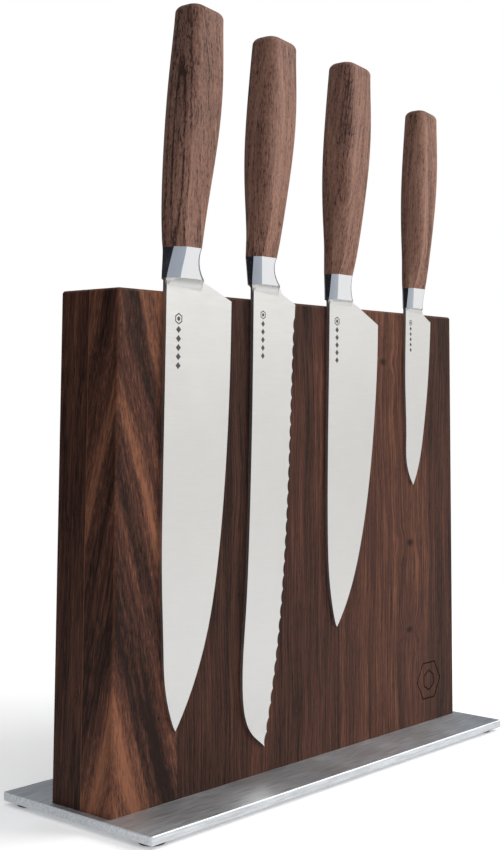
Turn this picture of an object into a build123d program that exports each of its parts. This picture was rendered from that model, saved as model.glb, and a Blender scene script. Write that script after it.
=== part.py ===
from build123d import *
import os
from dataclasses import dataclass
from math import cos, radians, sin

# A free-standing magnetic knife block with its four knives, in millimetres.
# +Z is up. The knives hang on the front face, which looks along -Y. The origin is the centre
# of the footprint, on the surface that the rubber feet stand on.

# ---- driving dimensions --------------------------------------------------------------------
BLOCK_WIDTH = 274.0
BLOCK_HEIGHT = 235.0
BLOCK_DEPTH = 40.0
BLOCK_ROUND = 1.5  # round-over on the outer edges of the wood
STAVE_SEAMS = (-95.5, -47.0, 26.0, 104.5)  # glue lines between the five staves of each half

PLATE_LENGTH = 282.0
PLATE_DEPTH = 100.0
PLATE_THICKNESS = 4.0
PLATE_CORNER = 1.2
PLATE_BEVEL = 0.4

FOOT_DIAMETER = 12.0
FOOT_HEIGHT = 2.0
FOOT_INSET = 9.0
FOOT_ROUND = 0.5

SCREW_X = 115.0
SCREW_Y = 10.0
SCREW_RADIUS = 2.0
SCREW_LENGTH = 30.0
SCREW_HEAD_RADIUS = 4.0
SCREW_HOLE_CLEARANCE = 0.05
DRIVE_SIZE = 4.4
DRIVE_WIDTH = 0.9
DRIVE_DEPTH = 1.6

MAGNET_WIDTH = 20.0
MAGNET_HEIGHT = 40.0
MAGNET_THICKNESS = 10.0
MAGNETS_PER_ROW = 6
MAGNET_PITCH = 41.0
ROW_SPACING = 100.0
ROWS_CENTRE = 135.0  # height of the middle of the two magnet rows above the base plate
POCKET_SKIN = 3.0  # wood left between the magnets and the outside
POCKET_LENGTH = 252.0
POCKET_HEIGHT = 41.0
POCKET_CORNER = 5.0
YOKE_LENGTH = 240.0
YOKE_THICKNESS = 6.0

MARK_X = 111.0
MARK_HEIGHT = 23.0
MARK_RADIUS = 12.0
MARK_LINE = 0.9
MARK_DEPTH = 0.4

TANG_WIDTH = 8.0
TANG_THICKNESS = 3.5
TANG_IN_HANDLE = 60.0
TANG_SHIFT = 1.0  # from the middle of the bolster's top towards the belly
TANG_CLEARANCE = 0.05
SEAT_GAP = 0.05  # air between a seated blade and the wood
EDGE_SHARE = 0.50  # thickness of a flank behind the cutting edge, as a share of that at the back
TIP_SHARE = 0.52
BEVEL_WIDTH = 1.6  # width of the ground cutting bevel on each flank
BEVEL_DEPTH_SHARE = 0.14  # depth that it is ground into each side, as a share of the blade
SCALLOP_PITCH = 7.0
SCALLOP_DEPTH = 1.0

# Sections of a handle: position along it, then back, belly and thickness as shares of its
# greatest width and thickness. The neck, at position 0, takes the bolster's own section.
HANDLE_FORM = (
    (0.20, 0.040, 0.736, 0.86),
    (0.40, 0.069, 0.880, 0.97),
    (0.60, 0.103, 0.997, 1.00),
    (0.80, 0.178, 1.034, 0.98),
    (1.00, 0.259, 1.045, 0.92),
)
HANDLE_FILL_FADE = 3  # how fast the fill behind the handle's back runs out upwards
HANDLE_RUN_IN = 0.40  # share of the handle over which its back leaves the line of the bolster's
FOOT_FACET = 0.37  # 45 degree facet beside the back, as a share of the section's thickness
NECK_FACET = 0.27
HANDLE_FACET = 0.35
FLAT_FACET = 0.04  # how far a facet swells towards a quarter circle: hardly, on the bolster
BELLY_ROUND = 0.30
FOOT_NOSE = 0.80  # the belly thins out over this share of the thickness at the bolster's foot
FOOT_NOSE_TIP = 0.20  # share of the thickness that is left there
BUTT_ROUND = 4.0
BUTT_STEPS = (0, 30, 60, 90)  # degrees round the butt's rounding, one section at each
BUTT_TILT = 6.0  # degrees that the butt slopes down towards the belly

# Sections of the blade's shoulder below the bolster: share of its height, then the share of
# the bolster's extra thickness that is left there.
SHOULDER_FORM = ((0.0, 1.0), (0.15, 0.55), (0.45, 0.18), (1.0, 0.0))


@dataclass
class Knife:
    """One knife. Outlines are x across from the back of the blade and y up from the bolster's foot."""

    name: str
    back_x: float  # back of the blade, from the middle of the block
    foot_height: float  # foot of the bolster above the base plate
    thickness: float  # blade at its back
    back: tuple  # points of the back between the bolster and the tip
    tip: tuple
    edge: tuple  # points of the cutting edge between the tip and the heel
    heel: tuple
    heel_bend: tuple  # where the straight heel starts to curve up into the bolster
    neck: tuple  # bolster sections: (height, back, belly, thickness), foot first
    handle_length: float
    handle_width: float
    handle_thickness: float
    handle_shift: float  # how far the handle stands towards the belly
    handle_fill: float = 0.0  # wood added behind the lower part of the handle's back
    shoulder: float = 5.2  # height of the shoulder between bolster and blade
    scalloped: bool = False


KNIVES = (
    Knife(
        name="chef",
        back_x=-108.9,
        foot_height=241.2,
        thickness=2.5,
        back=((-0.5, -100.0), (0.2, -148.0), (1.5, -170.0), (4.9, -197.0)),
        tip=(10.4, -209.8),
        edge=((20.9, -193.2), (31.7, -167.2), (38.0, -139.2), (42.9, -99.0), (45.9, -49.0)),
        heel=(46.6, -8.6),
        heel_bend=(30.0, -2.0),
        neck=(
            (0.0, -0.6, 25.6, 12.6),
            (4.0, 0.0, 22.3, 13.4),
            (8.2, 0.8, 20.3, 14.4),
            (14.8, 1.9, 19.6, 16.0),
        ),
        handle_length=121.8,
        handle_width=29.5,
        handle_thickness=19.0,
        handle_shift=2.2,
        handle_fill=5.2,
    ),
    Knife(
        name="bread",
        back_x=-46.7,
        foot_height=242.4,
        thickness=2.2,
        back=((-0.7, -83.2), (-1.9, -125.2), (-4.0, -163.2), (-6.0, -199.2), (-3.6, -213.7), (2.0, -222.4)),
        tip=(11.2, -229.4),
        edge=((18.8, -196.4), (23.6, -167.4), (28.2, -122.2), (31.2, -68.2)),
        heel=(34.2, -8.4),
        heel_bend=(24.0, -4.0),
        neck=(
            (0.0, -1.5, 20.8, 9.6),
            (4.0, -1.7, 17.0, 10.0),
            (8.0, -1.8, 14.8, 10.4),
            (14.0, -2.0, 14.9, 11.0),
        ),
        handle_length=117.0,
        handle_width=28.5,
        handle_thickness=19.0,
        handle_shift=-2.3,
        scalloped=True,
    ),
    Knife(
        name="small_chef",
        back_x=15.2,
        foot_height=238.6,
        thickness=2.3,
        back=((-0.3, -34.0), (-1.0, -108.0), (-0.4, -134.0), (3.0, -160.6)),
        tip=(7.8, -174.6),
        edge=((17.1, -161.6), (29.9, -130.6), (37.4, -98.6), (42.1, -65.6), (45.0, -31.6)),
        heel=(45.6, -12.0),
        heel_bend=(26.0, -2.6),
        neck=(
            (0.0, -0.7, 21.0, 8.8),
            (3.7, -0.4, 19.0, 9.2),
            (7.4, -0.2, 17.9, 9.5),
            (13.6, 0.1, 17.4, 10.0),
        ),
        handle_length=120.6,
        handle_width=29.5,
        handle_thickness=19.0,
        handle_shift=0.0,
        shoulder=3.2,
    ),
    Knife(
        name="paring",
        back_x=87.2,
        foot_height=238.0,
        thickness=1.9,
        back=((-0.5, -46.0), (0.5, -76.0), (3.2, -95.4)),
        tip=(7.8, -102.2),
        edge=((12.4, -94.0), (19.0, -71.0), (23.0, -48.0), (25.6, -24.0)),
        heel=(26.7, -7.4),
        heel_bend=(20.0, -3.9),
        neck=(
            (0.0, 0.8, 17.4, 7.2),
            (2.8, 0.9, 16.9, 7.4),
            (5.6, 1.1, 16.9, 7.7),
            (11.6, 1.4, 17.2, 8.1),
        ),
        handle_length=108.4,
        handle_width=23.5,
        handle_thickness=16.0,
        handle_shift=2.4,
        shoulder=2.8,
    ),
)

# ---- derived sizes -------------------------------------------------------------------------
PLATE_TOP = FOOT_HEIGHT + PLATE_THICKNESS
HALF_DEPTH = BLOCK_DEPTH / 2
POCKET_DEPTH = HALF_DEPTH - POCKET_SKIN
FRONT_FACE = Plane.XZ.offset(HALF_DEPTH)
QUARTER_MIDDLE = 0.5**0.5  # sine and cosine in the middle of a quarter circle


def save(piece, label):
    """Names a finished piece and writes it as its own STEP file."""
    piece.part.label = label
    export_step(piece.part, f"parts/{label}.step")


# ---- wooden halves -------------------------------------------------------------------------
def make_half():
    """Front half of the block, up to the glue face at Y = 0, with pockets and pilot holes."""
    with BuildPart(Plane.XY.offset(PLATE_TOP)) as half:
        with Locations((0, -HALF_DEPTH / 2)):
            Box(BLOCK_WIDTH, HALF_DEPTH, BLOCK_HEIGHT, align=(Align.CENTER, Align.CENTER, Align.MIN))
        outer_edges = half.edges().filter_by(lambda e: e.center().Y < -1 and e.center().Z > PLATE_TOP + 1)
        fillet(outer_edges, BLOCK_ROUND)
        with BuildSketch(Plane.XZ):
            with Locations((0, PLATE_TOP + ROWS_CENTRE)):
                with GridLocations(0, ROW_SPACING, 1, 2):
                    RectangleRounded(POCKET_LENGTH, POCKET_HEIGHT, POCKET_CORNER)
        extrude(amount=POCKET_DEPTH, mode=Mode.SUBTRACT)
        with BuildSketch(Plane.XY.offset(PLATE_TOP)):
            with Locations((-SCREW_X, -SCREW_Y), (SCREW_X, -SCREW_Y)):
                Circle(SCREW_RADIUS + SCREW_HOLE_CLEARANCE)
        extrude(amount=SCREW_LENGTH, mode=Mode.SUBTRACT)
    return half


def make_staves():
    """The five edge-glued staves of each half, cut at the same glue lines front and rear."""
    plain_half = make_half()
    with BuildPart() as front_half:
        add(plain_half.part)
        with BuildSketch(FRONT_FACE):
            with Locations((MARK_X, PLATE_TOP + MARK_HEIGHT)):
                RegularPolygon(MARK_RADIUS, 6)
                RegularPolygon(MARK_RADIUS - MARK_LINE, 6, mode=Mode.SUBTRACT)
                RegularPolygon(MARK_RADIUS / 2, 6, rotation=30)
                RegularPolygon(MARK_RADIUS / 2 - MARK_LINE, 6, rotation=30, mode=Mode.SUBTRACT)
        extrude(amount=-MARK_DEPTH, mode=Mode.SUBTRACT)
    with BuildPart() as rear_half:
        mirror(plain_half.part, about=Plane.XZ)
    limits = (-BLOCK_WIDTH, *STAVE_SEAMS, BLOCK_WIDTH)
    for side, half in (("front", front_half), ("rear", rear_half)):
        for number, (left, right) in enumerate(zip(limits[:-1], limits[1:]), start=1):
            with BuildPart() as stave:
                add(half.part)
                with Locations(((left + right) / 2, 0, PLATE_TOP + BLOCK_HEIGHT / 2)):
                    Box(right - left, 2 * BLOCK_DEPTH, 2 * BLOCK_HEIGHT, mode=Mode.INTERSECT)
            save(stave, f"{side}_stave_{number}")


# ---- magnets and their steel backing -------------------------------------------------------
def make_magnets():
    """Two rows of block magnets against the skin of each half, with a steel strip behind each row."""
    with BuildPart() as front_magnets:
        with BuildSketch(Plane.XZ.offset(POCKET_DEPTH - MAGNET_THICKNESS)):
            with Locations((0, PLATE_TOP + ROWS_CENTRE)):
                with GridLocations(MAGNET_PITCH, ROW_SPACING, MAGNETS_PER_ROW, 2):
                    Rectangle(MAGNET_WIDTH, MAGNET_HEIGHT)
        extrude(amount=MAGNET_THICKNESS)
    with BuildPart() as front_yokes:
        with BuildSketch(Plane.XZ.offset(POCKET_DEPTH - MAGNET_THICKNESS - YOKE_THICKNESS)):
            with Locations((0, PLATE_TOP + ROWS_CENTRE)):
                with GridLocations(0, ROW_SPACING, 1, 2):
                    Rectangle(YOKE_LENGTH, MAGNET_HEIGHT)
        extrude(amount=YOKE_THICKNESS)
    with BuildPart() as rear_magnets:
        mirror(front_magnets.part, about=Plane.XZ)
    with BuildPart() as rear_yokes:
        mirror(front_yokes.part, about=Plane.XZ)
    save(front_magnets, "front_magnets")
    save(front_yokes, "front_yoke_strips")
    save(rear_magnets, "rear_magnets")
    save(rear_yokes, "rear_yoke_strips")


# ---- base ----------------------------------------------------------------------------------
def make_base():
    """Steel base plate, the four screws that hold the wood to it, and the stick-on feet."""
    screw_places = [(x, y) for x in (-SCREW_X, SCREW_X) for y in (-SCREW_Y, SCREW_Y)]
    with BuildPart() as plate:
        with BuildSketch(Plane.XY.offset(FOOT_HEIGHT)):
            RectangleRounded(PLATE_LENGTH, PLATE_DEPTH, PLATE_CORNER)
        extrude(amount=PLATE_THICKNESS)
        chamfer(plate.faces().sort_by(Axis.Z)[-1].edges(), PLATE_BEVEL)
        chamfer(plate.faces().sort_by(Axis.Z)[0].edges(), PLATE_BEVEL)
        # The countersinks open downwards, so their plane looks down and mirrors Y.
        with Locations(Plane(origin=(0, 0, FOOT_HEIGHT), x_dir=(1, 0, 0), z_dir=(0, 0, -1))):
            with Locations(*screw_places):
                CounterSinkHole(
                    SCREW_RADIUS + SCREW_HOLE_CLEARANCE,
                    SCREW_HEAD_RADIUS + SCREW_HOLE_CLEARANCE,
                    depth=PLATE_THICKNESS,
                    counter_sink_angle=90,
                )
    save(plate, "base_plate")

    head_height = SCREW_HEAD_RADIUS - SCREW_RADIUS
    with BuildPart() as screws:
        with BuildSketch(Plane.XY.offset(FOOT_HEIGHT)):
            with Locations(*screw_places):
                Circle(SCREW_RADIUS)
        extrude(amount=SCREW_LENGTH)
        with Locations(*[(x, y, FOOT_HEIGHT + head_height / 2) for x, y in screw_places]):
            Cone(SCREW_HEAD_RADIUS, SCREW_RADIUS, head_height)
        with BuildSketch(Plane.XY.offset(FOOT_HEIGHT)):
            with Locations(*screw_places):
                Rectangle(DRIVE_SIZE, DRIVE_WIDTH)
                Rectangle(DRIVE_WIDTH, DRIVE_SIZE)
        extrude(amount=DRIVE_DEPTH, mode=Mode.SUBTRACT)
    save(screws, "base_screws")

    with BuildPart() as feet:
        with BuildSketch():
            with GridLocations(PLATE_LENGTH - 2 * FOOT_INSET, PLATE_DEPTH - 2 * FOOT_INSET, 2, 2):
                Circle(FOOT_DIAMETER / 2)
        extrude(amount=FOOT_HEIGHT)
        fillet(feet.edges().group_by(Axis.Z)[0], FOOT_ROUND)
    save(feet, "rubber_feet")


# ---- knives --------------------------------------------------------------------------------
def grip_section(plane, back, belly, thickness, facet_share, swell, foot_share):
    """Section of bolster and handle: facets beside the back that swell into round corners, and a
    belly that goes from round corners to the thin nose of the bolster's foot with foot_share."""
    half = thickness / 2
    facet = thickness * facet_share
    swollen = facet * (0.5 + (0.5 - QUARTER_MIDDLE) * swell)
    corner = thickness * BELLY_ROUND
    nose = corner + (thickness * FOOT_NOSE - corner) * foot_share
    nose_half = half - corner + (half * FOOT_NOSE_TIP - half + corner) * foot_share
    with BuildSketch(plane) as section:
        with BuildLine():
            Line((back, facet - half), (back, half - facet))
            ThreePointArc((back, half - facet), (back + swollen, half - swollen), (back + facet, half))
            Line((back + facet, half), (belly - nose, half))
            TangentArc((belly - nose, half), (belly, nose_half), tangent=(1, 0))
            Line((belly, nose_half), (belly, -nose_half))
            TangentArc((belly - nose, -half), (belly, -nose_half), tangent=(1, 0))
            Line((belly - nose, -half), (back + facet, -half))
            ThreePointArc((back + facet, -half), (back + swollen, swollen - half), (back, facet - half))
        make_face()
    return section.sketch


def flank(knife, side):
    """Plane of one flank, through back and heel at the bolster's foot and through the tip."""
    half_back = knife.thickness / 2
    back_point = Vector(0, 0, side * half_back)
    heel_point = Vector(knife.heel[0], 0, side * half_back * EDGE_SHARE)
    tip_point = Vector(knife.tip[0], knife.tip[1], side * half_back * TIP_SHARE)
    normal = (heel_point - back_point).cross(tip_point - back_point)
    if normal.Z * side < 0:
        normal = -normal
    return Plane(origin=back_point, x_dir=heel_point - back_point, z_dir=normal)


def seat_knife(knife):
    """Middle plane of a knife whose rear flank lies flat on the front of the block."""
    seat = Plane(
        origin=(knife.back_x, -HALF_DEPTH - SEAT_GAP, PLATE_TOP + knife.foot_height),
        x_dir=(1, 0, 0),
        z_dir=(0, 1, 0),
    )
    return Plane(seat.location * flank(knife, -1).location.inverse())


def across(middle, height):
    """Plane across the knife at a height above the bolster's foot."""
    return Plane(origin=middle.from_local_coords((0, height, 0)), x_dir=middle.x_dir, z_dir=middle.y_dir)


def scallop_line(guide):
    """Arcs hollowed into a smooth edge line, with points between them and a plain stretch at the heel."""
    count = round(guide.length / SCALLOP_PITCH)
    points = [guide @ (i / count) for i in range(count + 1)]
    for start, end in zip(points[:-2], points[1:-1]):
        inward = Vector(0, 0, 1).cross(end - start).normalized()
        ThreePointArc(start, (start + end) / 2 + inward * SCALLOP_DEPTH, end)
    Line(points[-2], points[-1])


def make_blade(knife, middle, tang_x):
    """Blade with its shoulder under the bolster and the stick tang that runs up into the handle."""
    _, foot_back, foot_belly, foot_thickness = knife.neck[0]
    belly_run = Vector(knife.neck[1][2] - foot_belly, knife.neck[1][0])
    bolster_height = knife.neck[-1][0]
    thin = knife.thickness * 0.8
    with BuildPart() as blade:
        with BuildSketch(middle):
            with BuildLine():
                Spline((0, 0), *knife.back, knife.tip, tangents=((0, -1), (1, -1)), tangent_scalars=(1, 0.5))
                if knife.scalloped:
                    scallop_line(Spline(knife.tip, *knife.edge, knife.heel, mode=Mode.PRIVATE))
                else:
                    Spline(knife.tip, *knife.edge, knife.heel)
                Line(knife.heel, knife.heel_bend)
                heel_run = Vector(*knife.heel_bend) - Vector(*knife.heel)
                Spline(knife.heel_bend, (foot_belly, 0), tangents=(heel_run, belly_run))
                Line((foot_belly, 0), (0, 0))
            make_face()
        extrude(amount=knife.thickness, both=True)
        for side in (-1, 1):
            split(bisect_by=Plane(middle.location * flank(knife, side).location), keep=Keep.BOTTOM)
        if not knife.scalloped:
            on_edge = middle.from_local_coords((*knife.edge[2], 0))
            edge_face = blade.faces().sort_by_distance(on_edge)[0]
            rims = edge_face.edges().sort_by(SortBy.LENGTH)[-2:]
            chamfer(rims, BEVEL_DEPTH_SHARE * knife.thickness, BEVEL_WIDTH, reference=edge_face)
        sections = []
        for share, thickness_share in SHOULDER_FORM:
            shoulder_plane = across(middle, -share * knife.shoulder)
            shoulder_back = foot_back * thickness_share
            thickness = thin + (foot_thickness - thin) * thickness_share
            sections.append(
                grip_section(shoulder_plane, shoulder_back, foot_belly, thickness, FOOT_FACET, FLAT_FACET, 1)
            )
        loft(sections)
        with BuildSketch(across(middle, 0)):
            with Locations((tang_x, 0)):
                Rectangle(TANG_WIDTH, TANG_THICKNESS)
        extrude(amount=bolster_height + TANG_IN_HANDLE)
    save(blade, f"{knife.name}_blade")


def make_bolster(knife, middle, tang_x):
    """Polished collar between blade and handle, slotted for the tang."""
    sections = []
    for height, back, belly, thickness in knife.neck:
        foot_share = 1 - height / knife.neck[-1][0]
        facet = NECK_FACET + (FOOT_FACET - NECK_FACET) * foot_share
        sections.append(
            grip_section(across(middle, height), back, belly, thickness, facet, FLAT_FACET, foot_share)
        )
    with BuildPart() as bolster:
        loft(sections)
        with BuildSketch(across(middle, 0)):
            with Locations((tang_x, 0)):
                Rectangle(TANG_WIDTH + 2 * TANG_CLEARANCE, TANG_THICKNESS + 2 * TANG_CLEARANCE)
        extrude(amount=knife.neck[-1][0], mode=Mode.SUBTRACT)
    save(bolster, f"{knife.name}_bolster")


def make_handle(knife, middle, tang_x):
    """One-piece wooden handle, bored for the tang, with a rounded butt."""
    neck_height, neck_back, neck_belly, neck_thickness = knife.neck[-1]
    neck_plane = across(middle, neck_height)
    grip_length = knife.handle_length - BUTT_ROUND
    sections = [grip_section(neck_plane, neck_back, neck_belly, neck_thickness, NECK_FACET, FLAT_FACET, 0)]
    for share, back_share, belly_share, thickness_share in HANDLE_FORM:
        run_in = min(1, share / HANDLE_RUN_IN)
        back = back_share * knife.handle_width + neck_back + (knife.handle_shift - neck_back) * run_in
        back -= knife.handle_fill * (1 - share) ** HANDLE_FILL_FADE
        belly = belly_share * knife.handle_width + knife.handle_shift
        thickness = thickness_share * knife.handle_thickness
        plane = across(middle, neck_height + share * grip_length)
        if share == 1:  # the butt
            plane = plane.rotated((0, BUTT_TILT, 0))
        sections.append(grip_section(plane, back, belly, thickness, HANDLE_FACET, run_in, 0))
    butt_sections = []
    for angle in BUTT_STEPS:
        inset = BUTT_ROUND * (1 - cos(radians(angle)))
        ring = plane.offset(BUTT_ROUND * sin(radians(angle)))
        butt_sections.append(
            grip_section(ring, back + inset, belly - inset, thickness - 2 * inset, HANDLE_FACET, 1, 0)
        )
    with BuildPart() as handle:
        loft(sections)
        loft(butt_sections)
        with BuildSketch(neck_plane):
            with Locations((tang_x, 0)):
                Rectangle(TANG_WIDTH + 2 * TANG_CLEARANCE, TANG_THICKNESS + 2 * TANG_CLEARANCE)
        extrude(amount=TANG_IN_HANDLE + 1, mode=Mode.SUBTRACT)
    save(handle, f"{knife.name}_handle")


os.makedirs("parts", exist_ok=True)
make_staves()
make_magnets()
make_base()
for knife in KNIVES:
    middle = seat_knife(knife)
    tang_x = (knife.neck[-1][1] + knife.neck[-1][2]) / 2 + TANG_SHIFT
    make_blade(knife, middle, tang_x)
    make_bolster(knife, middle, tang_x)
    make_handle(knife, middle, tang_x)
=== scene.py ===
import math

import bmesh
import bpy
from bpy.props import FloatProperty, FloatVectorProperty, PointerProperty
from mathutils import Matrix, Vector
from mathutils.bvhtree import BVHTree


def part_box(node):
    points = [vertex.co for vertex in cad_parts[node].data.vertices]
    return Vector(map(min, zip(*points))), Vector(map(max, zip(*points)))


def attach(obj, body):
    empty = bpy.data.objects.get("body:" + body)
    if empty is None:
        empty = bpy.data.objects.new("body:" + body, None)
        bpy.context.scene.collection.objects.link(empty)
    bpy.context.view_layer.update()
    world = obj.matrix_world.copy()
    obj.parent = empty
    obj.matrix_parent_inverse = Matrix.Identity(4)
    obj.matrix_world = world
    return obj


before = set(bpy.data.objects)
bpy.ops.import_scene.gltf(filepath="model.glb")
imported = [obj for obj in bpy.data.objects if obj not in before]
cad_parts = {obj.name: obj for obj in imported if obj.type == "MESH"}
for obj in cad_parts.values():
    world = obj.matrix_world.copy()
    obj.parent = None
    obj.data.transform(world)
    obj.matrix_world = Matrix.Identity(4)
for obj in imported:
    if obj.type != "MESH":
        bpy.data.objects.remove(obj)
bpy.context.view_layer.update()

bl_info = {
    "name": "Magnetic knife block",
    "version": (1, 0, 0),
    "blender": (4, 5, 0),
    "location": "3D Viewport > Sidebar > Knife block",
    "description": "Looks for a walnut magnetic knife block with four knives",
    "category": "Object",
}

KNIVES = ("chef", "bread", "small_chef", "paring")
HALVES = ("front", "rear")
STAVES = (1, 2, 3, 4, 5)

# ---- places that the materials and pieces share, in metres ---------------------------------
BLOCK_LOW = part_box("front_stave_1")[0]
# X of the glue lines between the staves, where each stave but the last one ends.
SEAMS = tuple(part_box(f"front_stave_{number}")[1].x for number in STAVES[:-1])
SEAM_WIDTH = 0.0005
SEAM_DARKNESS = 0.75
HALVES_LINE_WIDTH = 0.0004  # pale line where the front and rear halves meet
HALVES_LINE_LIGHTNESS = 0.45
ROUND_OVER_HIGHLIGHT = 0.18  # painted highlight: how far the round-overs are lightened towards the light tone

# Growth layers of each stave: how far the fibres lean per metre of height in X and Y, how fast the
# layers change through the depth if they change at 1 across the width, the width of one layer, and
# where in the log the stave was cut.
STAVE_CUTS = {
    1: {"lean": (0.12, 0.145), "through": 1.2, "layer": 0.0135, "start": (0.31, 0.0, 0.52)},
    2: {"lean": (0.008, 0.004), "through": 0.8, "layer": 0.007, "start": (2.37, 0.4, 0.11)},
    3: {"lean": (-0.006, 0.01), "through": 0.9, "layer": 0.008, "start": (4.83, 0.2, 0.73)},
    4: {"lean": (0.004, -0.01), "through": 0.7, "layer": 0.006, "start": (7.19, 0.7, 0.35)},
    5: {"lean": (-0.01, 0.006), "through": 0.8, "layer": 0.008, "start": (9.53, 0.1, 0.91)},
}
# Shift of each stave's tone towards light, front and rear, and how strongly its layers differ.
STAVE_TONES = {
    ("front", 1): (-0.02, 1.55),
    ("front", 2): (-0.26, 0.50),
    ("front", 3): (-0.15, 0.60),
    ("front", 4): (-0.04, 0.50),
    ("front", 5): (-0.13, 0.45),
    ("rear", 1): (-0.20, 0.90),
    ("rear", 2): (-0.06, 0.50),
    ("rear", 3): (-0.04, 0.50),
    ("rear", 4): (-0.08, 0.45),
    ("rear", 5): (-0.02, 0.60),
}
# What the rear staves have of their own: share of the front lean that they keep in X and Y, shift
# of the cut in X and its place in Y, and how fast the layers change through the depth.
REAR_LEAN = (0.1, 0.2)
REAR_START = (0.6, 1.3)
REAR_THROUGH = 1.1
# Small knots in the front face of stave 4: X and height above the base plate, and radius.
KNOTS = ((0.093, 0.103, 0.0050), (0.092, 0.054, 0.0042), (0.067, 0.206, 0.0044))
KNOT_SHADE = (0.006, 0.003, 0.002, 1)
# Burnt mark, engraved in the front face of stave 5: what lies deeper than the face is dark, as far
# out as the radius.
BURNT_CENTRE = Vector((0.111, BLOCK_LOW.y, BLOCK_LOW.z + 0.023))
BURNT_RADIUS = 0.0130
BURNT_EDGE = 0.0002
BURNT_SHADE = (0.004, 0.002, 0.0015, 1)

# Cut of each handle: lean of the fibres in X and Y, and the arch figure where the layers run out on
# the side: its middle along SIDE_RUN, its height, half width and half height, and its tilt.
SIDE_RUN = (0.652, -0.758, 0.0)  # level direction that the arch is measured along
HANDLE_CUTS = {
    "chef": {"lean": (0.03, 0.03), "arch": (-0.0492, 0.308, 0.0028, 0.042, 0.031)},
    "bread": {"lean": (0.02, 0.02), "arch": None},
    "small_chef": {"lean": (-0.16, 0.04), "arch": None},
    "paring": {"lean": (-0.05, 0.03), "arch": None},
}
HANDLE_CONTRAST = {"chef": 0.42, "bread": 0.80, "small_chef": 0.80, "paring": 1.00}

FIBRES_ACROSS = 1250  # per metre of width and depth
FLECKS_ACROSS = 1500
# Fibres and flecks per metre of height, and the strength of the flecks.
BLOCK_RATES = (22, 130, 0.60)
HANDLE_RATES = (60, 420, 1.55)
LAYER_DRIFT = (6, 3.5)  # how fast a layer changes along itself, per metre of depth and of height
# Slow and quick wavering of the layers: swings per metre on each axis, and how far they reach.
WAVER_RATES = (14, 14, 9)
WAVER_REACH = 0.012
RIPPLE_RATES = (90, 90, 60)
RIPPLE_REACH = 0.0016
PATCH_RATES = (24, 24, 7)
LAYER_STRENGTH = 1.9
FIBRE_STRENGTH = 1.25
PATCH_STRENGTH = 0.50
PORE_DARKNESS = 0.22
# Dark grain lines of the handles: how fast they change on each axis, their width and strength.
LINE_RATES = (150, 110, 2.5)
LINE_WIDTH = 0.024
LINE_STRENGTH = 0.20
# Nested arches: how far out each lies in sizes of the figure, its width and its strength.
ARCHES = ((1.0, 0.30, 0.42), (1.95, 0.30, 0.25))
WOOD_SPECULAR = {"block": 0.09, "handle": 0.14}

# Colours of the pieces that are mostly out of sight.
SCREW_SHADE = (0.56, 0.56, 0.57)
STRIP_SHADE = (0.33, 0.33, 0.34)
FERRITE_SHADE = (0.020, 0.020, 0.022)
FOOT_SHADE = (0.035, 0.030, 0.027)

# Etched mark of each knife: X and Z of its middle, its width and its height.
MARKS = {
    "chef": (-0.1003, 0.2175, 0.0056, 0.027),
    "bread": (-0.0391, 0.2230, 0.0046, 0.025),
    "small_chef": (0.0220, 0.2227, 0.0050, 0.0255),
    "paring": (0.0923, 0.2278, 0.0036, 0.019),
}
MARK_PROUD = 0.00002
MARK_SUNK = 0.00006
MARK_DIAMONDS = 5
# Sizes in the mark: the ring's hole, the hexagon inside it and a diamond's half width as shares of
# the ring's radius, and a diamond's half height and first place as shares of the diamonds' pitch.
RING_HOLE = 0.76
RING_HEART = 0.42
DIAMOND_WIDE = 0.62
DIAMOND_HIGH = 0.40
DIAMOND_FIRST = 0.55
DRAWN_AHEAD = 0.05  # how far in front of the block the mark is drawn before it is laid on the blade

# Large soft light: its place, the point that it faces, and the length of its side.
KEY_PLACE = Vector((1.05, -1.0, 1.15))
KEY_AIM = Vector((0, 0, 0.15))
KEY_SIDE = 0.9
FLOOR_GLOW = 0.22
FLOOR_FADE = (0.25, 0.8)  # distances from the middle where the floor starts to fade and is gone
# Shades of the room, from the back left to the front right.
ROOM_SHADES = (
    (0.0, (0.30, 0.33, 0.37)),
    (0.5, (0.36, 0.40, 0.46)),
    (0.72, (0.80, 0.81, 0.82)),
    (0.85, (0.98, 0.97, 0.96)),
)
# Camera: its place, its turn to the right of +Y, up and about its line of sight in radians, and the
# shift of its lens.
CAMERA_PLACE = (-0.5514, -0.4688, 0.1889)
CAMERA_TURN = (0.8597, 0.0981, 0.0047)
CAMERA_SHIFT = (-0.0230, -0.1814)


# ---- settings ------------------------------------------------------------------------------
def colour(name, description, default):
    """Property that holds one linear colour."""
    return FloatVectorProperty(
        name=name, description=description, default=default, subtype="COLOR", min=0, max=1
    )


class KnifeBlockWood(bpy.types.PropertyGroup):
    """Colours and grain of the walnut."""

    block_dark: colour("Block dark", "Darkest growth layers of the block", (0.0150, 0.0062, 0.0040))
    block_mid: colour("Block middle", "Main colour of the block", (0.0730, 0.0285, 0.0185))
    block_light: colour("Block light", "Lightest growth layers of the block", (0.235, 0.094, 0.050))
    handle_dark: colour("Handle dark", "Dark grain lines of the handles", (0.040, 0.0185, 0.0135))
    handle_mid: colour("Handle middle", "Main colour of the handles", (0.205, 0.103, 0.075))
    handle_light: colour("Handle light", "Lightest layers of the handles", (0.350, 0.195, 0.135))
    pore_depth: FloatProperty(
        name="Pore depth", description="Depth of the open pores", default=0.00012, unit="LENGTH", min=0
    )


class KnifeBlockSteel(bpy.types.PropertyGroup):
    """Colours of the steel pieces, and the etched marks on the blades."""

    blade: colour("Blade", "Satin ground blades", (0.60, 0.597, 0.585))
    bolster: colour("Bolster", "Polished bolsters", (0.80, 0.81, 0.83))
    plate: colour("Base plate", "Brushed base plate", (0.60, 0.62, 0.64))
    mark: colour("Etched mark", "Etched mark on the blades", (0.035, 0.035, 0.036))


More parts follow.
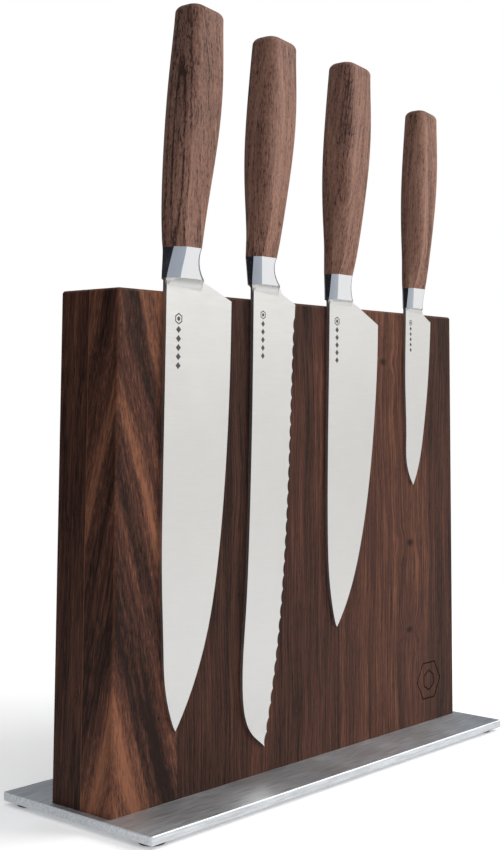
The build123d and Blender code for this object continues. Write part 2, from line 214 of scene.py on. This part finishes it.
class KnifeBlockStage(bpy.types.PropertyGroup):
    """Camera, floor and light."""

    floor: colour("Floor", "Colour of the floor", (0.93, 0.93, 0.93))
    lens: FloatProperty(name="Lens", description="Focal length", default=56.58, unit="CAMERA", min=10)
    floor_radius: FloatProperty(
        name="Floor radius", description="Radius of the floor", default=3.0, unit="LENGTH", min=0.5
    )
    key_power: FloatProperty(
        name="Key light", description="Power of the large light", default=16.0, unit="POWER", min=0
    )


# ---- node helpers --------------------------------------------------------------------------
def new_material(name):
    """Material with one Principled shader, its node tree and the shader."""
    material = bpy.data.materials.new(name)
    material.use_nodes = True
    tree = material.node_tree
    return material, tree, tree.nodes["Principled BSDF"]


def put(tree, socket, value):
    """Links a socket into another, or sets a plain value."""
    if isinstance(value, bpy.types.NodeSocket):
        tree.links.new(value, socket)
    else:
        socket.default_value = value


def maths(tree, operation, *values, clamp=False):
    """Result of one Math node."""
    node = tree.nodes.new("ShaderNodeMath")
    node.operation = operation
    node.use_clamp = clamp
    for socket, value in zip(node.inputs, values):
        put(tree, socket, value)
    return node.outputs[0]


def vector_maths(tree, operation, *values):
    """Result of one Vector Math node, a number or a vector as the operation gives."""
    node = tree.nodes.new("ShaderNodeVectorMath")
    node.operation = operation
    for socket, value in zip(node.inputs, values):
        put(tree, socket, value)
    return node.outputs["Value" if operation in ("DOT_PRODUCT", "LENGTH", "DISTANCE") else "Vector"]


def total(tree, *values):
    """Sum of two or more values."""
    result = values[0]
    for value in values[1:]:
        result = maths(tree, "ADD", result, value)
    return result


def split_xyz(tree, vector):
    """The three parts of a vector."""
    node = tree.nodes.new("ShaderNodeSeparateXYZ")
    put(tree, node.inputs[0], vector)
    return node.outputs


def join_xyz(tree, *values):
    """Vector from three values."""
    node = tree.nodes.new("ShaderNodeCombineXYZ")
    for socket, value in zip(node.inputs, values):
        put(tree, socket, value)
    return node.outputs[0]


def stretched(tree, *pairs):
    """Vector from three (value, rate) pairs, each value times its rate."""
    return join_xyz(tree, *(maths(tree, "MULTIPLY", value, rate) for value, rate in pairs))


def ramp_range(tree, value, low, high, to_low=0.0, to_high=1.0, smooth=True):
    """Value taken from one range to another, with soft ends."""
    node = tree.nodes.new("ShaderNodeMapRange")
    node.interpolation_type = "SMOOTHSTEP" if smooth else "LINEAR"
    for name, number in (("From Min", low), ("From Max", high), ("To Min", to_low), ("To Max", to_high)):
        node.inputs[name].default_value = number
    put(tree, node.inputs["Value"], value)
    return node.outputs["Result"]


def noise(tree, vector, detail=2.0, roughness=0.5):
    """Smooth noise from 0 to 1, one swing for each unit of the vector."""
    node = tree.nodes.new("ShaderNodeTexNoise")
    node.inputs["Scale"].default_value = 1.0
    node.inputs["Detail"].default_value = detail
    node.inputs["Roughness"].default_value = roughness
    put(tree, node.inputs["Vector"], vector)
    return node.outputs["Fac"]


def mix_colour(tree, share, first, second):
    """First colour where the share is 0, second where it is 1."""
    node = tree.nodes.new("ShaderNodeMix")
    node.data_type = "RGBA"
    put(tree, node.inputs["Factor"], share)
    put(tree, node.inputs["A"], first)
    put(tree, node.inputs["B"], second)
    return node.outputs["Result"]


def colour_ramp(tree, value, stops):
    """Colour ramp through (position, linear colour) stops."""
    node = tree.nodes.new("ShaderNodeValToRGB")
    elements = node.color_ramp.elements
    while len(elements) < len(stops):
        elements.new(0.5)
    for element, (position, shade) in zip(elements, stops):
        element.position = position
        element.color = (*shade, 1.0)
    put(tree, node.inputs[0], value)
    return node.outputs["Color"]


def object_place(tree):
    """Place on the piece in the shared frame, in metres."""
    return tree.nodes.new("ShaderNodeTexCoord").outputs["Object"]


def scaled(tree, vector, scale):
    """Vector with each part times its own scale."""
    return vector_maths(tree, "MULTIPLY", vector, scale)


def bump(tree, shader, height, distance, strength=1.0):
    """Gives a shader its bump, from a height of 0 to 1 and the depth in metres that it stands for."""
    node = tree.nodes.new("ShaderNodeBump")
    node.inputs["Strength"].default_value = strength
    node.inputs["Distance"].default_value = distance
    put(tree, node.inputs["Height"], height)
    tree.links.new(node.outputs["Normal"], shader.inputs["Normal"])


# ---- wood ----------------------------------------------------------------------------------
def centred(tree, value, weight):
    """Noise value moved to swing around zero, times a weight."""
    return maths(tree, "MULTIPLY", maths(tree, "SUBTRACT", value, 0.5), weight)


def ring_at(tree, value, place, width, strength):
    """Soft line where a value passes a place."""
    away = maths(tree, "ABSOLUTE", maths(tree, "SUBTRACT", value, place))
    return ramp_range(tree, away, 0.0, width, strength, 0.0)


def walnut(name, tones, cut, tone_shift, contrast, rates, knots=(), lines=None):
    """Oiled walnut: growth layers, fibres, pores and knots, all solid through the piece. The rates are
    fibres and flecks per metre of height, and the strength of the flecks."""
    fibre_rate, fleck_rate, fleck_strength = rates
    material, tree, shader = new_material(name)
    place = object_place(tree)
    own_x, _, own_z = split_xyz(tree, place)
    moved = vector_maths(tree, "ADD", place, cut["start"])
    x, y, z = split_xyz(tree, moved)
    lean_x, lean_y = cut["lean"]
    waver = centred(tree, noise(tree, scaled(tree, moved, WAVER_RATES)), WAVER_REACH)
    ripple = centred(tree, noise(tree, scaled(tree, moved, RIPPLE_RATES)), RIPPLE_REACH)
    across = total(tree, x, maths(tree, "MULTIPLY", z, lean_x), waver, ripple)
    depth = total(tree, y, maths(tree, "MULTIPLY", z, lean_y))

    knot_shade = 0.0
    for knot_x, knot_height, radius in knots:
        side = maths(tree, "SUBTRACT", own_x, knot_x)
        rise = maths(tree, "SUBTRACT", own_z, BLOCK_LOW.z + knot_height)
        reach = vector_maths(tree, "LENGTH", join_xyz(tree, side, maths(tree, "MULTIPLY", rise, 1.5), 0.0))
        core = ramp_range(tree, reach, radius * 0.1, radius, 1.0, 0.0)
        swell = ramp_range(tree, reach, radius * 0.5, radius * 4.0, 0.45, 0.0)
        across = total(tree, across, maths(tree, "MULTIPLY", swell, side))
        knot_shade = total(tree, knot_shade, core)

    layer = total(tree, across, maths(tree, "MULTIPLY", depth, cut["through"]))
    layer_place = stretched(tree, (layer, 1 / cut["layer"]), (depth, LAYER_DRIFT[0]), (z, LAYER_DRIFT[1]))
    layers = noise(tree, layer_place, detail=5, roughness=0.66)
    fibre_place = stretched(tree, (across, FIBRES_ACROSS), (depth, FIBRES_ACROSS), (z, fibre_rate))
    fibres = noise(tree, fibre_place, detail=3, roughness=0.7)
    fleck_place = stretched(tree, (across, FLECKS_ACROSS), (depth, FLECKS_ACROSS), (z, fleck_rate))
    speckle = noise(tree, fleck_place, detail=2, roughness=0.6)
    pores = ramp_range(tree, speckle, 0.56, 0.68)
    patches = noise(tree, scaled(tree, moved, PATCH_RATES))

    value = total(
        tree,
        centred(tree, layers, LAYER_STRENGTH * contrast),
        centred(tree, fibres, FIBRE_STRENGTH),
        centred(tree, speckle, fleck_strength),
        centred(tree, patches, PATCH_STRENGTH),
        0.5 + tone_shift,
    )
    value = maths(tree, "SUBTRACT", value, maths(tree, "MULTIPLY", pores, PORE_DARKNESS))
    if lines:
        value = maths(tree, "SUBTRACT", value, lines(tree, place, waver))
    value = maths(tree, "MAXIMUM", maths(tree, "MINIMUM", value, 1.0), 0.0)
    dark, mid, light = tones
    shade = colour_ramp(tree, value, ((0.06, dark), (0.46, mid), (0.98, light)))
    if knots:
        knot_shade = maths(tree, "MULTIPLY", knot_shade, 0.85, clamp=True)
        shade = mix_colour(tree, knot_shade, shade, KNOT_SHADE)
    return material, tree, shader, {"shade": shade, "fibres": fibres, "pores": pores, "place": place}


def block_walnut(side, number):
    """Walnut of one stave of the block, with its glue lines, a painted highlight on the round-overs and
    the burnt mark.
    """
    wood = bpy.context.scene.knife_block_wood
    cut = dict(STAVE_CUTS[number])
    if side == "rear":
        cut["lean"] = (cut["lean"][0] * REAR_LEAN[0], cut["lean"][1] * REAR_LEAN[1])
        cut["start"] = (cut["start"][0] + REAR_START[0], REAR_START[1], cut["start"][2])
        cut["through"] = REAR_THROUGH
    tone_shift, contrast = STAVE_TONES[side, number]
    tones = (tuple(wood.block_dark), tuple(wood.block_mid), tuple(wood.block_light))
    knots = KNOTS if (side, number) == ("front", 4) else ()
    material, tree, shader, made = walnut(
        f"walnut_{side}_{number}", tones, cut, tone_shift, contrast, BLOCK_RATES, knots
    )
    shade = made["shade"]
    own_x, own_y, _ = split_xyz(tree, made["place"])
    for seam in SEAMS:
        line = ring_at(tree, own_x, seam, SEAM_WIDTH, SEAM_DARKNESS)
        shade = mix_colour(tree, line, shade, (*wood.block_dark, 1))
    line = ring_at(tree, own_y, 0.0, HALVES_LINE_WIDTH, HALVES_LINE_LIGHTNESS)
    shade = mix_colour(tree, line, shade, (*wood.block_light, 1))
    if (side, number) == ("front", 5):
        deep = ramp_range(tree, own_y, BLOCK_LOW.y + 0.00004, BLOCK_LOW.y + 0.00022)
        away = vector_maths(tree, "DISTANCE", made["place"], BURNT_CENTRE)
        within = ramp_range(tree, away, BURNT_RADIUS, BURNT_RADIUS + BURNT_EDGE, 0.9, 0.0)
        shade = mix_colour(tree, maths(tree, "MULTIPLY", deep, within), shade, BURNT_SHADE)
    # Painted highlight: where the normal lies between two axes, on the round-overs, the colour is
    # lightened towards the light tone.
    normal = tree.nodes.new("ShaderNodeNewGeometry").outputs["Normal"]
    facing = split_xyz(tree, vector_maths(tree, "ABSOLUTE", normal))
    upright_corner = maths(tree, "MULTIPLY", facing[0], facing[1])
    top_corner = maths(tree, "MULTIPLY", facing[2], total(tree, facing[0], facing[1]))
    corner = total(tree, upright_corner, top_corner)
    painted_highlight = ramp_range(tree, corner, 0.15, 0.5, 0.0, ROUND_OVER_HIGHLIGHT)
    put(tree, shader.inputs["Base Color"], mix_colour(tree, painted_highlight, shade, (*wood.block_light, 1)))
    rough_fibres = maths(tree, "MULTIPLY", made["fibres"], 0.22)
    rough_pores = maths(tree, "MULTIPLY", made["pores"], 0.18)
    put(tree, shader.inputs["Roughness"], total(tree, rough_fibres, 0.42, rough_pores))
    shader.inputs["Specular IOR Level"].default_value = WOOD_SPECULAR["block"]
    height = maths(tree, "SUBTRACT", maths(tree, "MULTIPLY", made["fibres"], 0.5), made["pores"])
    bump(tree, shader, height, wood.pore_depth, 0.7)
    return material


def handle_walnut(knife, number):
    """Paler, dry walnut of one handle, with dark grain lines and the arch figure of the chef's knife."""
    wood = bpy.context.scene.knife_block_wood
    cut = {
        "lean": HANDLE_CUTS[knife]["lean"],
        "through": 1.2,
        "layer": 0.0070,
        "start": (1.7 * number + 0.35, 0.37, 0.21 * number),
    }
    arch = HANDLE_CUTS[knife]["arch"]

    def grain_lines(tree, place, waver):
        """Dark late-wood lines, and the nested arches of a flat-sawn side."""
        moved = vector_maths(tree, "ADD", place, cut["start"])
        x, y, z = split_xyz(tree, moved)
        leaning = total(tree, x, maths(tree, "MULTIPLY", z, cut["lean"][0]), waver)
        line_place = stretched(tree, *zip((leaning, y, z), LINE_RATES))
        dark = ring_at(tree, noise(tree, line_place), 0.5, LINE_WIDTH, LINE_STRENGTH)
        if arch:
            middle, height, half_width, half_height, tilt = arch
            run = vector_maths(tree, "DOT_PRODUCT", place, SIDE_RUN)
            rise = maths(tree, "SUBTRACT", split_xyz(tree, place)[2], height)
            leaned = maths(tree, "MULTIPLY", rise, -tilt)
            uneven = maths(tree, "MULTIPLY", waver, 0.10)
            run = total(tree, run, -middle, leaned, uneven)
            ellipse = stretched(tree, (run, 1 / half_width), (rise, 1 / half_height), (0.0, 0.0))
            reach = vector_maths(tree, "LENGTH", ellipse)
            for size, width, strength in ARCHES:
                dark = maths(tree, "MAXIMUM", dark, ring_at(tree, reach, size, width, strength))
        return dark

    tones = (tuple(wood.handle_dark), tuple(wood.handle_mid), tuple(wood.handle_light))
    material, tree, shader, made = walnut(
        f"walnut_{knife}_handle", tones, cut, 0.04, HANDLE_CONTRAST[knife], HANDLE_RATES, lines=grain_lines
    )
    put(tree, shader.inputs["Base Color"], made["shade"])
    put(tree, shader.inputs["Roughness"], total(tree, maths(tree, "MULTIPLY", made["fibres"], 0.25), 0.46))
    shader.inputs["Specular IOR Level"].default_value = WOOD_SPECULAR["handle"]
    height = maths(tree, "SUBTRACT", maths(tree, "MULTIPLY", made["fibres"], 0.5), made["pores"])
    bump(tree, shader, height, wood.pore_depth, 0.8)
    return material


# ---- metal and rubber ----------------------------------------------------------------------
def dimmed(tone, share):
    """Colour times a share, at most 1."""
    return tuple(min(1.0, part * share) for part in tone)


def brushed_steel(name, tone, scale, roughness, bump_depth, tone_spread=0.10):
    """Steel with fine lines from a belt or brush: scale is the number of lines per metre on each axis."""
    material, tree, shader = new_material(name)
    place = object_place(tree)
    lines = noise(tree, scaled(tree, place, scale), detail=3, roughness=0.65)
    clouds = noise(tree, scaled(tree, place, (26, 26, 26)), detail=3)
    low, high = roughness
    value = total(tree, maths(tree, "MULTIPLY", lines, 0.75), maths(tree, "MULTIPLY", clouds, 0.25))
    put(tree, shader.inputs["Roughness"], ramp_range(tree, value, 0.3, 0.7, low, high, smooth=False))
    darker, lighter = dimmed(tone, 1 - tone_spread), dimmed(tone, 1 + tone_spread)
    put(tree, shader.inputs["Base Color"], colour_ramp(tree, value, ((0.34, darker), (0.66, lighter))))
    shader.inputs["Metallic"].default_value = 1.0
    bump(tree, shader, lines, bump_depth)
    return material


def polished_steel(name, tone):
    """Buffed steel with faint random wipe marks."""
    material, tree, shader = new_material(name)
    place = object_place(tree)
    wipes = noise(tree, scaled(tree, place, (900, 900, 260)), detail=4, roughness=0.7)
    haze = noise(tree, scaled(tree, place, (60, 60, 60)), detail=2)
    value = total(tree, maths(tree, "MULTIPLY", wipes, 0.5), maths(tree, "MULTIPLY", haze, 0.5))
    put(tree, shader.inputs["Roughness"], ramp_range(tree, value, 0.35, 0.65, 0.16, 0.26, smooth=False))
    shade = colour_ramp(tree, value, ((0.3, dimmed(tone, 0.96)), (0.7, tone)))
    put(tree, shader.inputs["Base Color"], shade)
    shader.inputs["Metallic"].default_value = 1.0
    bump(tree, shader, wipes, 0.000004)
    return material


def matt_solid(name, tone, scale, roughness, bump_depth):
    """Matt, slightly mottled surface: rubber, sintered magnet or an etched mark."""
    material, tree, shader = new_material(name)
    place = object_place(tree)
    mottle = noise(tree, scaled(tree, place, (scale, scale, scale)), detail=4, roughness=0.6)
    low, high = roughness
    put(tree, shader.inputs["Roughness"], ramp_range(tree, mottle, 0.3, 0.7, low, high, smooth=False))
    shade = colour_ramp(tree, mottle, ((0.3, dimmed(tone, 0.7)), (0.7, dimmed(tone, 1.25))))
    put(tree, shader.inputs["Base Color"], shade)
    bump(tree, shader, mottle, bump_depth)
    return material


def dress(node, material):
    """Gives a CAD node its finished material."""
    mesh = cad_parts[node].data
    mesh.materials.clear()
    mesh.materials.append(material)


# ---- etched marks --------------------------------------------------------------------------
def lay_polygon(bm, corners, half_width, half_height, middle):
    """Adds a flat polygon that faces the front, with one corner at its top, and returns its face."""
    stand = Matrix.Rotation(math.pi / 2, 4, "X")
    stretch = Matrix.Diagonal((half_width, 1, half_height, 1))
    place = Matrix.Translation(middle) @ stretch @ stand
    made = bmesh.ops.create_circle(bm, cap_ends=True, segments=corners, radius=1.0, matrix=place)
    return made["verts"][0].link_faces[0]


def draw_mark(bm, middle, width, height):
    """Adds the flat mark: a hexagon ring with a hexagon inside it, over a row of diamonds."""
    radius = width / 2
    top = middle + Vector((0, 0, height / 2 - radius))
    hexagon = lay_polygon(bm, 6, radius, radius, top)
    rim = radius * (1 - RING_HOLE) * math.cos(math.pi / 6)
    bmesh.ops.inset_individual(bm, faces=[hexagon], thickness=rim, use_even_offset=True)
    bmesh.ops.delete(bm, geom=[hexagon], context="FACES_ONLY")
    lay_polygon(bm, 6, radius * RING_HEART, radius * RING_HEART, top)
    pitch = (height - width) / MARK_DIAMONDS
    for i in range(MARK_DIAMONDS):
        drop = radius + pitch * (i + DIAMOND_FIRST)
        lay_polygon(bm, 4, radius * DIAMOND_WIDE, pitch * DIAMOND_HIGH, top - Vector((0, 0, drop)))


def make_mark(knife, material):
    """Thin etched mark laid on the front flank of a blade."""
    blade = bmesh.new()
    blade.from_mesh(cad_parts[f"{knife}_blade"].data)
    flank = BVHTree.FromBMesh(blade)
    blade.free()
    middle_x, middle_z, width, height = MARKS[knife]
    bm = bmesh.new()
    draw_mark(bm, Vector((middle_x, BLOCK_LOW.y - DRAWN_AHEAD, middle_z)), width, height)
    for corner in bm.verts:
        hit = flank.ray_cast(corner.co, Vector((0, 1, 0)))[0]
        corner.co = hit + Vector((0, MARK_SUNK, 0))
    skin = bmesh.ops.extrude_face_region(bm, geom=bm.faces[:])["geom"]
    proud = [item for item in skin if isinstance(item, bmesh.types.BMVert)]
    bmesh.ops.translate(bm, verts=proud, vec=(0, -(MARK_SUNK + MARK_PROUD), 0))
    bmesh.ops.recalc_face_normals(bm, faces=bm.faces)
    mesh = bpy.data.meshes.new(f"{knife}_mark")
    bm.to_mesh(mesh)
    bm.free()
    mesh.materials.append(material)
    piece = bpy.data.objects.new(f"{knife}_mark", mesh)
    bpy.context.scene.collection.objects.link(piece)
    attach(piece, f"{knife}_knife")


# ---- operators -----------------------------------------------------------------------------
class BLOCK_OT_staves(bpy.types.Operator):
    """Finish the ten walnut staves of the block"""

    bl_idname = "knife_block.staves"
    bl_label = "Finish staves"

    def execute(self, context):
        for side in HALVES:
            for number in STAVES:
                dress(f"{side}_stave_{number}", block_walnut(side, number))
        return {"FINISHED"}


class BLOCK_OT_base(bpy.types.Operator):
    """Finish the base plate, its screws and its feet"""

    bl_idname = "knife_block.base"
    bl_label = "Finish base"

    def execute(self, context):
        steel = context.scene.knife_block_steel
        plate_finish = brushed_steel(
            "plate_brushed",
            tuple(steel.plate),
            scale=(55, 1000, 1000),
            roughness=(0.42, 0.60),
            bump_depth=0.00003,
            tone_spread=0.24,
        )
        screw_finish = brushed_steel(
            "screw_turned",
            SCREW_SHADE,
            scale=(700, 700, 1800),
            roughness=(0.25, 0.4),
            bump_depth=0.00001,
        )
        foot_finish = matt_solid(
            "foot_rubber", FOOT_SHADE, scale=1800, roughness=(0.62, 0.85), bump_depth=0.00006
        )
        dress("base_plate", plate_finish)
        dress("base_screws", screw_finish)
        dress("rubber_feet", foot_finish)
        return {"FINISHED"}


class BLOCK_OT_magnets(bpy.types.Operator):
    """Finish the magnets and the steel strips inside the block"""

    bl_idname = "knife_block.magnets"
    bl_label = "Finish magnets"

    def execute(self, context):
        ferrite = matt_solid(
            "magnet_ferrite", FERRITE_SHADE, scale=2200, roughness=(0.5, 0.75), bump_depth=0.00004
        )
        strip = brushed_steel(
            "strip_rolled",
            STRIP_SHADE,
            scale=(30, 900, 900),
            roughness=(0.35, 0.55),
            bump_depth=0.00002,
        )
        for side in HALVES:
            dress(f"{side}_magnets", ferrite)
            dress(f"{side}_yoke_strips", strip)
        return {"FINISHED"}


class BLOCK_OT_blades(bpy.types.Operator):
    """Finish the four satin blades"""

    bl_idname = "knife_block.blades"
    bl_label = "Finish blades"

    def execute(self, context):
        tone = tuple(context.scene.knife_block_steel.blade)
        for knife in KNIVES:
            finish = brushed_steel(
                f"{knife}_blade_satin",
                tone,
                scale=(110, 110, 2600),
                roughness=(0.34, 0.44),
                bump_depth=0.000004,
                tone_spread=0.03,
            )
            dress(f"{knife}_blade", finish)
        return {"FINISHED"}


class BLOCK_OT_marks(bpy.types.Operator):
    """Add the etched mark of each blade"""

    bl_idname = "knife_block.marks"
    bl_label = "Add etched marks"

    def execute(self, context):
        tone = tuple(context.scene.knife_block_steel.mark)
        material = matt_solid(
            "mark_etched", tone, scale=3000, roughness=(0.45, 0.65), bump_depth=0.00001
        )
        for knife in KNIVES:
            make_mark(knife, material)
        return {"FINISHED"}


class BLOCK_OT_bolsters(bpy.types.Operator):
    """Finish the four polished bolsters"""

    bl_idname = "knife_block.bolsters"
    bl_label = "Finish bolsters"

    def execute(self, context):
        material = polished_steel("bolster_polish", tuple(context.scene.knife_block_steel.bolster))
        for knife in KNIVES:
            dress(f"{knife}_bolster", material)
        return {"FINISHED"}


class BLOCK_OT_handles(bpy.types.Operator):
    """Finish the four walnut handles"""

    bl_idname = "knife_block.handles"
    bl_label = "Finish handles"

    def execute(self, context):
        for number, knife in enumerate(KNIVES):
            dress(f"{knife}_handle", handle_walnut(knife, number))
        return {"FINISHED"}


class BLOCK_OT_stage(bpy.types.Operator):
    """Add the floor, the soft light and the camera"""

    bl_idname = "knife_block.stage"
    bl_label = "Add stage"

    def execute(self, context):
        stage = context.scene.knife_block_stage
        self.add_floor(stage)
        self.add_light(stage)
        self.add_world(context.scene)
        self.add_camera(context.scene, stage)
        context.scene.view_settings.view_transform = "Standard"
        return {"FINISHED"}

    def add_floor(self, stage):
        """Pale floor that fades out far from the block."""
        bm = bmesh.new()
        bmesh.ops.create_circle(bm, cap_ends=True, radius=stage.floor_radius, segments=96)
        mesh = bpy.data.meshes.new("floor")
        bm.to_mesh(mesh)
        bm.free()
        material, tree, shader = new_material("floor_pale")
        place = object_place(tree)
        mottle = noise(tree, scaled(tree, place, (40, 40, 40)), detail=3)
        tone = tuple(stage.floor)
        shade = colour_ramp(tree, mottle, ((0.3, dimmed(tone, 0.99)), (0.7, tone)))
        put(tree, shader.inputs["Base Color"], shade)
        shader.inputs["Roughness"].default_value = 0.8
        shader.inputs["Specular IOR Level"].default_value = 0.1
        shader.inputs["Emission Color"].default_value = (1, 1, 1, 1)
        shader.inputs["Emission Strength"].default_value = FLOOR_GLOW
        far = vector_maths(tree, "LENGTH", place)
        put(tree, shader.inputs["Alpha"], ramp_range(tree, far, *FLOOR_FADE, 1.0, 0.0))
        mesh.materials.append(material)
        floor = bpy.data.objects.new("floor", mesh)
        bpy.context.scene.collection.objects.link(floor)

    def add_light(self, stage):
        """One large soft light, from the right and above."""
        light = bpy.data.lights.new("key", "AREA")
        light.shape = "RECTANGLE"
        light.size = KEY_SIDE
        light.size_y = KEY_SIDE
        light.energy = stage.key_power
        key = bpy.data.objects.new("key", light)
        key.location = KEY_PLACE
        key.rotation_mode = "QUATERNION"
        key.rotation_quaternion = (KEY_AIM - KEY_PLACE).to_track_quat("-Z", "Y")
        bpy.context.scene.collection.objects.link(key)

    def add_world(self, scene):
        """White room with a darker side at the back left and a grey side at the front left."""
        world = bpy.data.worlds.new("studio")
        world.use_nodes = True
        tree = world.node_tree
        background = tree.nodes["Background"]
        away = tree.nodes.new("ShaderNodeTexCoord").outputs["Generated"]
        right_front = vector_maths(tree, "DOT_PRODUCT", away, Vector((0.76, -0.65, 0.0)).normalized())
        left_back = vector_maths(tree, "DOT_PRODUCT", away, Vector((-0.80, 0.60, 0.05)).normalized())
        up = split_xyz(tree, away)[2]
        share = ramp_range(tree, right_front, -1.0, 1.0, smooth=False)
        shade = colour_ramp(tree, share, ROOM_SHADES)
        shade = mix_colour(tree, ramp_range(tree, up, 0.30, 0.85), shade, (0.95, 0.95, 0.95, 1))
        shade = mix_colour(tree, ramp_range(tree, left_back, 0.72, 0.90), shade, (0.012, 0.012, 0.014, 1))
        right_back = vector_maths(tree, "DOT_PRODUCT", away, Vector((0.72, 0.66, 0.22)).normalized())
        shade = mix_colour(tree, ramp_range(tree, right_back, 0.70, 0.93), shade, (0.085, 0.10, 0.12, 1))
        seen = tree.nodes.new("ShaderNodeLightPath").outputs["Is Camera Ray"]
        shade = mix_colour(tree, seen, shade, (1, 1, 1, 1))
        tree.links.new(shade, background.inputs["Color"])
        scene.world = world

    def add_camera(self, scene, stage):
        """Camera a little above half height, in front of the left end, looking slightly up."""
        data = bpy.data.cameras.new("camera")
        data.lens = stage.lens
        data.sensor_width = 36.0
        data.shift_x, data.shift_y = CAMERA_SHIFT
        data.clip_start = 0.01
        data.clip_end = 20.0
        camera = bpy.data.objects.new("camera", data)
        yaw, pitch, roll = CAMERA_TURN
        level_forward = Vector((math.sin(yaw), math.cos(yaw), 0))
        forward = level_forward * math.cos(pitch) + Vector((0, 0, math.sin(pitch)))
        level_right = Vector((math.cos(yaw), -math.sin(yaw), 0))
        right = Matrix.Rotation(-roll, 3, forward) @ level_right
        rise = right.cross(forward)
        camera.matrix_world = Matrix((right, rise, -forward)).transposed().to_4x4()
        camera.location = CAMERA_PLACE
        bpy.context.scene.collection.objects.link(camera)
        scene.camera = camera


STEPS = (
    BLOCK_OT_staves,
    BLOCK_OT_base,
    BLOCK_OT_magnets,
    BLOCK_OT_blades,
    BLOCK_OT_marks,
    BLOCK_OT_bolsters,
    BLOCK_OT_handles,
    BLOCK_OT_stage,
)
SETTINGS = {
    "knife_block_wood": KnifeBlockWood,
    "knife_block_steel": KnifeBlockSteel,
    "knife_block_stage": KnifeBlockStage,
}


class BLOCK_PT_panel(bpy.types.Panel):
    """Lists the steps that finish the knife block"""

    bl_idname = "BLOCK_PT_panel"
    bl_label = "Knife block"
    bl_space_type = "VIEW_3D"
    bl_region_type = "UI"
    bl_category = "Knife block"

    def draw(self, context):
        for step in STEPS:
            self.layout.operator(step.bl_idname)
        for setting, group in SETTINGS.items():
            box = self.layout.box()
            for name in group.__annotations__:
                box.prop(getattr(context.scene, setting), name)


def register():
    """Adds the settings, the operators and the panel."""
    for cls in (*SETTINGS.values(), *STEPS, BLOCK_PT_panel):
        bpy.utils.register_class(cls)
    for name, group in SETTINGS.items():
        setattr(bpy.types.Scene, name, PointerProperty(type=group))


def unregister():
    """Takes them away again, in the opposite order."""
    for name in SETTINGS:
        delattr(bpy.types.Scene, name)
    for cls in reversed((*SETTINGS.values(), *STEPS, BLOCK_PT_panel)):
        bpy.utils.unregister_class(cls)


def main():
    """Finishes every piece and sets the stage."""
    register()
    for step in STEPS:
        group, name = step.bl_idname.split(".")
        getattr(getattr(bpy.ops, group), name)()


if __name__ == "__main__":
    main()
